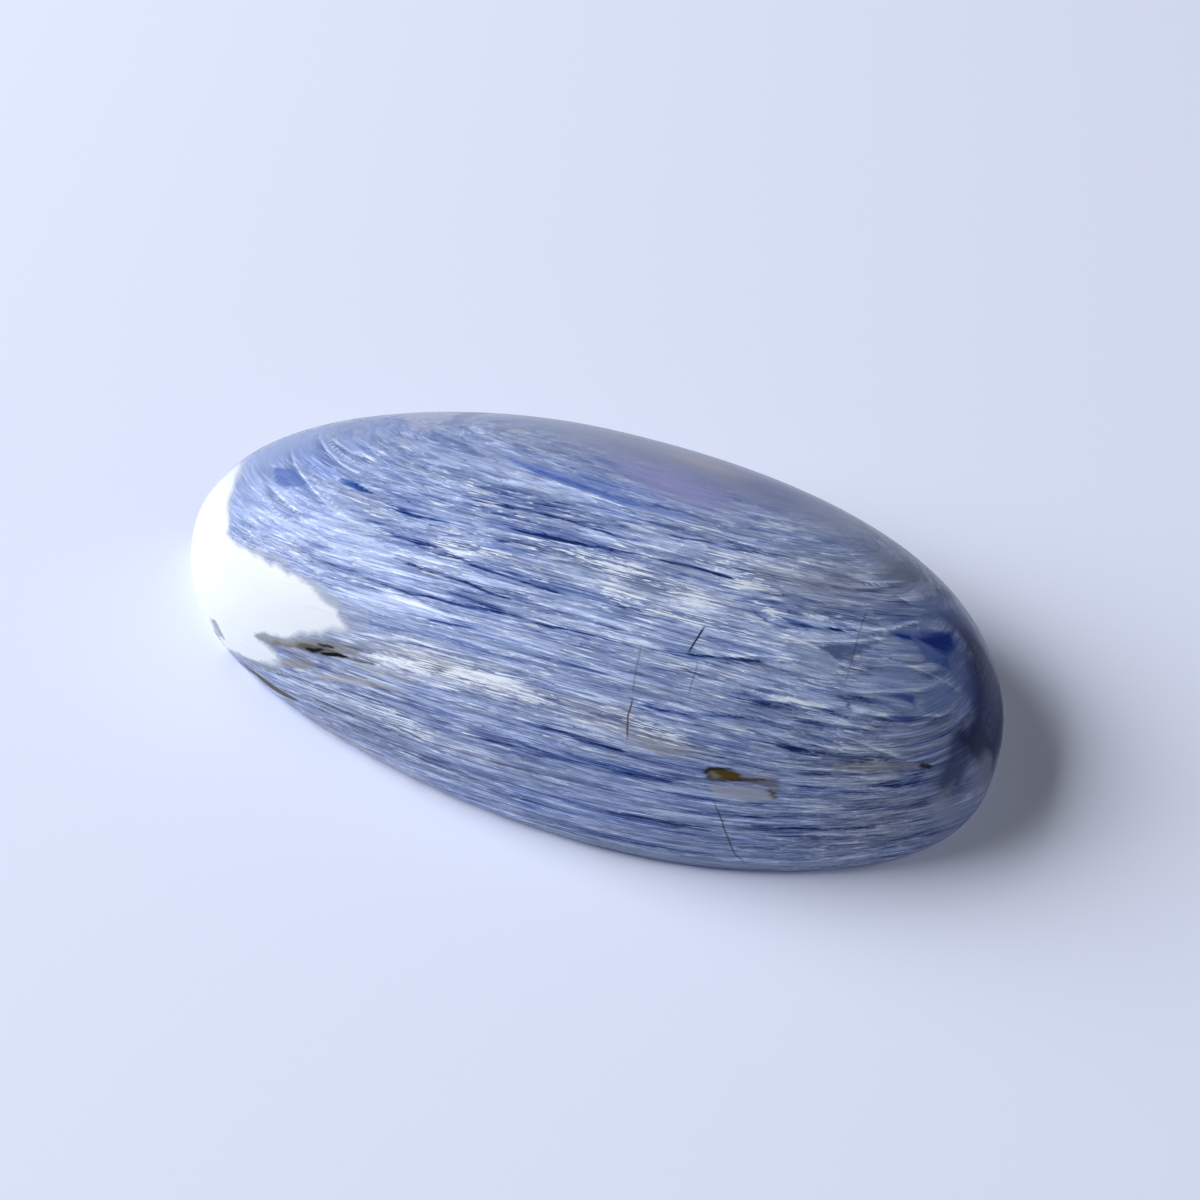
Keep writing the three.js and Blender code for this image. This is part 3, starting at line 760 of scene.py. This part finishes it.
def grow(stone):
    """Keeps what grew where, and where light and shade are painted on, as values at the stone's points, for
    the material to read.
    """
    mesh = stone.data
    places = np.empty(len(mesh.vertices) * 3)
    mesh.vertices.foreach_get("co", places)
    x, y, z = places.reshape(-1, 3).T / MM
    x, y = x - DOME_TOP[0], y - DOME_TOP[1]
    blades = np.empty(len(mesh.vertices) * 3)
    mesh.attributes["blades"].data.foreach_get("vector", blades)
    layer = blades.reshape(-1, 3)[:, 2]
    rng = np.random.default_rng(7)
    fray = rng.uniform(-1, 1, FIBRES)[(np.floor(layer / FIBRE_THICKNESS).astype(int)) % FIBRES]
    # The top's growths fade out at the base's edge, and the front wall's towards the back.
    on_top = np.clip((z - 0.2) / 1.6, 0, 1)
    on_front = np.clip((-0.5 - y) / 3, 0, 1)

    tone = np.zeros(x.shape)
    for veins, across, where, weight in ((TOP_VEINS, y, on_top, 0.62), (WALL_VEINS, z, on_front, 0.56)):
        for half_width, depth, *points in veins:
            held = vein(frayed(x, points, 0.08, fray), across, half_width, points)
            tone += weight * depth * held * where
    for middle, radii, turn, depth in PATCHES:
        tone += depth * cloud(x, y, middle, radii, turn) * on_top

    # Stains, and painted reflections and painted light at the rims, in one colour layer.
    stain_and_painted_light = np.zeros((len(x), 4))

    def colour_with(colour, amount):
        amount = amount[:, None]
        stain_and_painted_light[:, :3] = stain_and_painted_light[:, :3] * (1 - amount) + np.array(linear(colour)[:3]) * amount
        stain_and_painted_light[:, 3:] = stain_and_painted_light[:, 3:] * (1 - amount) + amount

    for middle, radii, turn, colour, strength in STAINS:
        amount = np.minimum(strength * cloud(x, y, middle, radii, turn) * 1.2, strength)
        colour_with(colour, amount * on_top)
    # The far side greyer: partly its own grey, partly a painted reflection.
    beyond = y - np.interp(x, *zip(*FAR_SIDE))
    colour_with(FAR_SIDE_GREY_AND_REFLECTION, 0.7 * np.clip(0.5 + beyond, 0, 1))
    for colour, strength, softness, *corners in FACES_AND_LIMB_REFLECTION:
        along = x + 0.15 * softness * fray * (x < CLEAR_RIM)
        colour_with(colour, strength * face(along, y, softness, corners) * on_top)
    for colour, strength, softness, *corners in WALL_FACES_AND_REFLECTION:
        colour_with(colour, strength * face(x + 0.12 * fray, z, softness, corners) * on_front)
    for streaks, across, where, how_frayed in (
        (STREAKS, y, on_top, fray * (y < -6)),
        (WALL_STREAKS_AND_RIM_LIGHT, z, on_front, fray),
    ):
        for half_width, strength, colour, *points in streaks:
            held = vein(frayed(x, points, 0.03, how_frayed), across, half_width, points)
            colour_with(colour, strength * np.clip(1.6 * held, 0, 1) * where)
    stain_and_painted_light[:, :3] /= np.maximum(stain_and_painted_light[:, 3:], 1e-3)

    grey = np.maximum(strongest(x, y, GREYS) * on_top, strongest(x, z, WALL_GREYS) * on_front)
    glint_flecks = np.maximum(strongest(x, y, GLINT_FLECKS) * on_top, strongest(x, z, WALL_GLINT_FLECKS) * on_front)
    calm = strongest(x, y, CALM, 1.4)

    girth = np.degrees(np.arctan2(z - GIRDLE_HEIGHT, -y))
    degrees, ends = zip(*QUARTZ_BORDER)
    border = [(end, GIRTH_PER_DEGREE * degree) for degree, end in QUARTZ_BORDER]
    quartz = distance_to_line(x, GIRTH_PER_DEGREE * girth, border)
    quartz *= np.where(x < np.interp(girth, degrees, ends), 1, -1)

    ledge, ledge_strength, _ = nearest_line(x, y, LEDGES, 0.5)
    deep = [(depth, points) for _, depth, *points in TOP_VEINS if depth < -0.24]
    core, core_strength, which = nearest_line(x, y, [points for _, points in deep], 0.5)
    core_strength *= np.array([min(1, -2.4 * depth) for depth, _ in deep])[which]
    crack, crack_strength, which = nearest_line(y, x, [points for _, _, *points in CRACKS], 0.9)
    brown = np.array([brown for brown, *_ in CRACKS])[which]
    crack_strength *= np.array([dark for _, dark, *_ in CRACKS])[which]
    low_crack, low_strength, _ = nearest_line(z, x, [WALL_CRACK], 0.9)
    lower = (y < -2) & (low_strength > 0)
    crack = np.where(lower, low_crack, crack)
    crack_strength = np.where(lower, 0.7 * low_strength, crack_strength * on_top)
    brown = np.where(lower, 0.5, brown)

    for name, value in (
        ("tone", tone),
        ("glint_flecks", glint_flecks),
        ("grey", grey),
        ("calm", calm),
        ("quartz", np.clip(quartz, -3, 3)),
        ("ledge", (ledge, ledge_strength * on_top, 0 * x)),
        ("vein", (core, core_strength * on_top, 0 * x)),
        ("crack", (crack, crack_strength, brown)),
        ("stain_and_painted_light", tuple(stain_and_painted_light.T)),
    ):
        values = np.stack(value, 1) if isinstance(value, tuple) else value[:, None]
        kind, field = KEPT_AS[values.shape[1]]
        kept = mesh.attributes.new(name, kind, "POINT")
        kept.data.foreach_set(field, np.ascontiguousarray(values, dtype=np.float32).ravel())


# ---- The finish ----


def polished_kyanite():
    """Kyanite in blades, with milky quartz at one end, ground and polished by hand.

    The blades lie in layers a fraction of a millimetre thick, each a slightly different blue."""
    material = bpy.data.materials.new("polished kyanite")
    material.use_nodes = True
    tree = material.node_tree
    tree.nodes.clear()
    add = partial(node, tree)
    kept = "ShaderNodeAttribute"
    blades, vein_place, ledge_place, crack_place = (
        add(kept, attribute_name=name).node.outputs["Vector"]
        for name in ("blades", "vein", "ledge", "crack")
    )
    tone, glint_flecks, grey, calm, quartz = (
        add(kept, attribute_name=name).node.outputs["Fac"]
        for name in ("tone", "glint_flecks", "grey", "calm", "quartz")
    )
    stain_and_painted_light = add(kept, attribute_name="stain_and_painted_light").node.outputs

    drift = add("VECTOR MULTIPLY", blades, (0.08, 0.35, 0.5))
    drift = add(NOISE, drift, 1.0, 2.0, 0.5).node.outputs["Color"]
    drift = add("VECTOR SUBTRACT", drift, (0.5, 0.5, 0.5))
    drift = add("VECTOR MULTIPLY_ADD", drift, (1.0, 0.3, 0.35), blades)

    # The blades: thick and thin ones, each its own blue, split into ever finer fibres.
    shade = 0.0
    for size_mm, weight in (((5.0, 1.3, 0.14), 0.18), ((1.6, 0.4, 0.055), 0.26)):
        shade = add("MULTIPLY_ADD", patchwork(add, drift, size_mm), weight, shade)
    for size_mm, weight, roughness in (
        ((8.0, 2.0, 0.42), 0.45, 0.5),
        ((3.0, 0.7, 0.12), 0.6, 0.7),
        ((1.1, 0.25, 0.032), 0.8, 0.6),
    ):
        fibre = uneven(add, drift, size_mm, 4.0, roughness)
        shade = add("MULTIPLY_ADD", fibre, weight, shade)

    # Towards the blue end the blades break off in slanting scales.
    slant = add("VECTOR DOT_PRODUCT", drift, (1 / 2.2, 0.0, 3.2)).node.outputs["Value"]
    along, width, layer = add(APART, drift).node.outputs
    scale = patchwork(add, add(TOGETHER, slant, width, layer), (1.0, 1.6, 0.24))
    scaly = add(RANGE, along, 6.0, 13.0, 0.0, 0.26)

    # Here and there the blades are split into a pale fluff.
    fluff = uneven(add, drift, (2.2, 0.9, 0.3), 5.0, 0.75, (0.56, 0.63, 0.0, 0.16))
    shade = add("ADD", shade, fluff)

    # Hairs: the thinnest fibres, a few of them white and a few deep blue.
    some = add(RANGE, fibre, -0.08, 0.08, 0.0, 1.0)
    for size_mm, width, weight in (((4.0, 1.1, 0.22), 0.016, 0.3), ((6.0, 1.3, 0.26), 0.012, -0.3)):
        hair = uneven(add, drift, size_mm, 2.0, shift=(weight * 40, 7.0, 3.0))
        hair = add(RANGE, add("ABSOLUTE", hair), 0.0, width, 1.0, 0.0)
        hair = add("MULTIPLY", hair, some)
        shade = add("MULTIPLY_ADD", hair, weight, shade)
    relief = shade

    # Dashes: short splinters painted near white as a painted glint, where they would catch the light, thick
    # where the cleavage shines back.
    cluster = uneven(add, drift, (2.0, 0.8, 0.3), span=(0.45, 0.7, 0.0, 0.32))
    cluster = add("ADD", cluster, glint_flecks, use_clamp=True)
    least = add("MULTIPLY_ADD", cluster, -0.46, 1.0)
    painted_glint = 0.0
    for size_mm in ((1.3, 0.22, 0.045), (0.45, 0.13, 0.025)):
        glint_dash = add(RANGE, patchwork(add, drift, size_mm, least), 0.0, 0.12, 0.0, 0.9)
        painted_glint = add("MAXIMUM", painted_glint, glint_dash)
    lively = add("SUBTRACT", 1.0, calm)
    shade = add("MULTIPLY_ADD", shade, lively, 0.44)
    shade = add("MULTIPLY_ADD", scale, scaly, shade)
    spread = add("MULTIPLY_ADD", shade, -1.6, 1.75)
    shade = add("MULTIPLY_ADD", tone, spread, shade)

    # The middle of a deep vein is thin, frayed and nearly black-blue.
    across, strength, _ = add(APART, vein_place).node.outputs
    wander = uneven(add, drift, (3.0, 0.8, 0.25))
    away = add("ABSOLUTE", add("MULTIPLY_ADD", wander, 0.5, across))
    core = add("MULTIPLY", add(RANGE, away, 0.015, 0.065, 1.0, 0.0), strength)
    shade = add("MULTIPLY_ADD", core, -0.18, shade)

    # Ledges: a painted shining edge with a painted shadow in front of it.
    across, strength, _ = add(APART, ledge_place).node.outputs
    edge = add(RANGE, add("ABSOLUTE", across), 0.0, 0.15, 0.2, 0.0)
    front = add(RANGE, across, -0.5, -0.05, 0.0, 1.0)
    behind = add(RANGE, across, -0.03, 0.0, 1.0, 0.0)
    front = add("MULTIPLY", front, behind)
    edge = add("MULTIPLY_ADD", front, -0.24, edge)
    shade = add("MULTIPLY_ADD", edge, strength, shade)

    surface, royals, greys = (
        add("ShaderNodeValToRGB", shade, stops=stops) for stops in (BLUES, ROYAL_BLUES, GREY_BLUES)
    )
    royal = add(RANGE, tone, -0.02, -0.16, 0.0, 1.0)
    for amount, size_mm, span, colours in (
        (royal, (8.3333, 1.42857, 0.454545), (0.5, 0.65, 0.0, 0.7), royals),
        (grey, (4.0, 0.666667, 0.333333), (0.48, 0.75, 0.0, 0.5), greys),
    ):
        amount = add("ADD", amount, uneven(add, drift, size_mm, span=span), use_clamp=True)
        surface = add(MIX, amount, surface, colours, data_type="RGBA")

    clear = add(RANGE, tone, -0.18, -0.04, 0.0, 1.0)
    bare = add("SUBTRACT", 1.0, stain_and_painted_light["Alpha"])
    for share in (lively, clear, bare):
        painted_glint = add("MULTIPLY", painted_glint, share)
    overlaid = add("MULTIPLY_ADD", fibre, 0.8, stain_and_painted_light["Alpha"])
    overlaid = add("MULTIPLY", overlaid, stain_and_painted_light["Alpha"])
    overlaid = add("MULTIPLY", overlaid, 1.15, use_clamp=True)
    mottle = uneven(add, drift, (2.0, 1.11111, 0.625), 5.0, 0.65, (0.35, 0.65, 0.84, 1.16))
    mottled = add("VECTOR SCALE", stain_and_painted_light["Color"], None, None, mottle)

    # Cracks: a hair's breadth, dark, or brown where iron got in.
    across, strength, brown = add(APART, crack_place).node.outputs
    wander = uneven(add, blades, (2 / 3, 2 / 3, 2 / 3), 1.0, 0.5)
    away = add("ABSOLUTE", add("MULTIPLY_ADD", wander, 0.1, across))
    dark = add("MULTIPLY", add(RANGE, away, 0.02, 0.06, 0.95, 0.0), strength)
    gap = add(MIX, brown, linear(CLEAN_CRACK), linear(IRON_CRACK), data_type="RGBA")

    # Milky quartz, with a clear grey fringe where it meets the blades.
    ragged = uneven(add, drift, (1 / 1.3, 1 / 1.3, 1 / 1.3), 4.0)
    edge = add("MULTIPLY_ADD", ragged, 0.7, quartz)
    fringe = add(RANGE, edge, -0.34, -0.08, 0.0, 0.6)
    milky = add("MULTIPLY", add(RANGE, edge, -0.1, 0.2, 0.0, 1.0), bare)

    for amount, colour in (
        (overlaid, mottled),
        (painted_glint, linear(PAINTED_GLINT)),
        (dark, gap),
        (fringe, linear(QUARTZ_FRINGE)),
        (milky, linear(MILKY_QUARTZ)),
    ):
        surface = add(MIX, amount, surface, colour, data_type="RGBA")
    bump = add("ShaderNodeBump", 0.25, 0.00002, None, relief)
    shader = add("ShaderNodeBsdfPrincipled").node
    tree.links.new(surface, shader.inputs["Base Color"])
    tree.links.new(bump, shader.inputs["Normal"])
    shader.inputs["Roughness"].default_value = POLISH_ROUGHNESS
    shader.inputs["IOR"].default_value = KYANITE_IOR
    shader.inputs["Specular IOR Level"].default_value = SHINE
    add("ShaderNodeOutputMaterial", shader.outputs["BSDF"])
    return material


# ---- The stage ----

FLOOR_HALF = 0.6
FLOOR_DROP = 0.02 * MM  # a hair under the stone's base
LIGHT_DISTANCE = 0.7
# Each light: degrees round from the front, degrees up, width, height, watts.
LIGHTS = {"window": (-84, 32, 0.6, 0.42, 8.5), "pale_wall": (90, 45, 0.5, 0.5, 1.15)}
CAMERA_AZIMUTH = 22.01
CAMERA_ELEVATION = 48
CAMERA_DISTANCE = 103.29  # mm, from the point it looks at
LOOKED_AT = (DOME_TOP[0], DOME_TOP[1], 3.0)
FOCAL_LENGTH = 67.18


def pale_floor():
    """A sheet of pale card under the stone."""
    mesh = bpy.data.meshes.new("pale_floor")
    low, high = -FLOOR_HALF, FLOOR_HALF
    corners = [(x, y, -FLOOR_DROP) for x, y in ((low, low), (high, low), (high, high), (low, high))]
    mesh.from_pydata(corners, [], [(0, 1, 2, 3)])
    floor = bpy.data.objects.new("pale_floor", mesh)
    bpy.context.scene.collection.objects.link(floor)
    card = bpy.data.materials.new("pale card")
    card.use_nodes = True
    shader = card.node_tree.nodes["Principled BSDF"]
    shader.inputs["Base Color"].default_value = linear("#e4eafa")
    shader.inputs["Roughness"].default_value = 0.9
    shader.inputs["Specular IOR Level"].default_value = 0.2
    mesh.materials.append(card)
    return floor


def facing(azimuth, elevation):
    """The way from the stone to something round it: degrees from the front, and degrees up."""
    turn, up = math.radians(azimuth), math.radians(elevation)
    return Vector((math.sin(turn) * math.cos(up), -math.cos(turn) * math.cos(up), math.sin(up)))


def soft_light():
    """Daylight from a tall window at the quartz end, and a little from pale walls round it."""
    for name, (azimuth, elevation, width, height, power) in LIGHTS.items():
        lamp = bpy.data.lights.new(name, "AREA")
        lamp.shape = "RECTANGLE"
        lamp.size = width
        lamp.size_y = height
        lamp.energy = power
        lamp.color = linear("#f6f8ff")[:3]
        light = bpy.data.objects.new(name, lamp)
        away = facing(azimuth, elevation)
        light.location = away * LIGHT_DISTANCE
        light.rotation_euler = away.to_track_quat("Z", "Y").to_euler()
        bpy.context.scene.collection.objects.link(light)
    world = bpy.data.worlds.new("pale room")
    world.use_nodes = True
    room = world.node_tree.nodes["Background"]
    room.inputs["Color"].default_value = linear("#eef1fa")
    room.inputs["Strength"].default_value = 0.02
    bpy.context.scene.world = world
    bpy.context.scene.view_settings.view_transform = "Standard"


def camera():
    """The camera, looking down on the stone from the front and a little to the right."""
    data = bpy.data.cameras.new("camera")
    data.sensor_width = 36
    data.lens = FOCAL_LENGTH
    data.shift_x = 0.0174
    data.shift_y = 0.0058
    data.clip_start = 0.001
    back = facing(CAMERA_AZIMUTH, CAMERA_ELEVATION)
    view = bpy.data.objects.new("camera", data)
    view.location = (Vector(LOOKED_AT) + back * CAMERA_DISTANCE) * MM
    view.rotation_euler = back.to_track_quat("Z", "Y").to_euler()
    bpy.context.scene.collection.objects.link(view)
    bpy.context.scene.camera = view


stone = ground_stone(polished_kyanite())
grow(stone)
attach(stone, "root")
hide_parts(STONE)
pale_floor()
soft_light()
camera()
